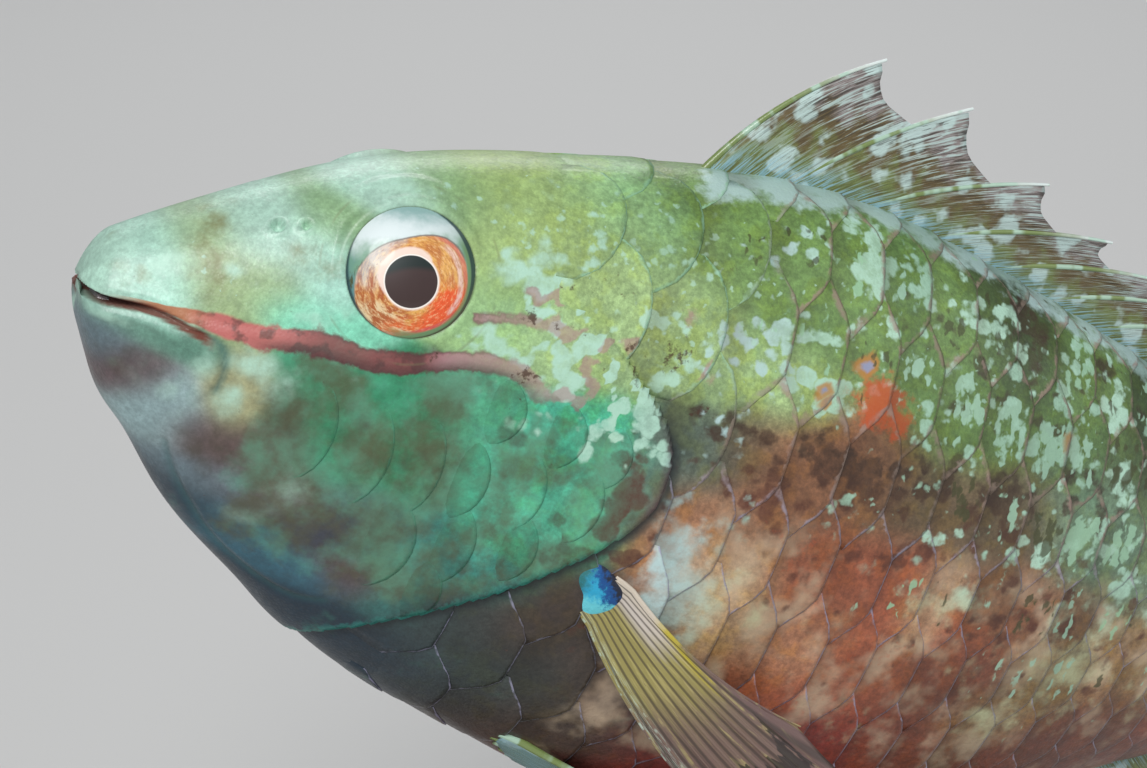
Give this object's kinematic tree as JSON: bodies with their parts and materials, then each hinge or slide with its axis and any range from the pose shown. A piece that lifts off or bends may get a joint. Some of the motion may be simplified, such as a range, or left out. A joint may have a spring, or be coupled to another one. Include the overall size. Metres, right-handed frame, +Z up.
{
  "type": "parrotfish",
  "caption": "Life-size reef parrotfish with a blunt beaked head, large scales and a notched spiny dorsal fin, held nose up on a plain display stand.",
  "frame": {"origin": "centre of the footprint of the whole model, on the floor under the stand's base", "axes": "+X towards the tail, +Y to the fish's right side, +Z up; the snout points to -X and is pitched up"},
  "size_m": [0.2454, 0.074, 0.1458],
  "materials": {
    "head_skin": "wet mottled skin, blue-green with a pink band",
    "body_skin": "wet mottled scales, olive above and red-brown below",
    "fin_skin": "thin mottled membrane over rays",
    "eye": "clear wet eye with a cream and orange iris",
    "beak": "polished tooth plate",
    "base_wood": "dark oiled wood",
    "rod_steel": "brushed"
  },
  "bodies": {
    "root": {"head": "head_skin", "trunk": "body_skin", "tail": "body_skin", "eye_left": "eye", "eye_right": "eye", "beak_upper": "beak", "beak_lower": "beak", "dorsal_fin": "fin_skin", "anal_fin": "fin_skin", "caudal_fin": "fin_skin", "pectoral_fin_left": "fin_skin", "pectoral_fin_right": "fin_skin", "pelvic_fin_left": "fin_skin", "pelvic_fin_right": "fin_skin", "stand_base": "base_wood", "stand_rod_front": "rod_steel", "stand_rod_rear": "rod_steel"}
  },
  "joints": []
}
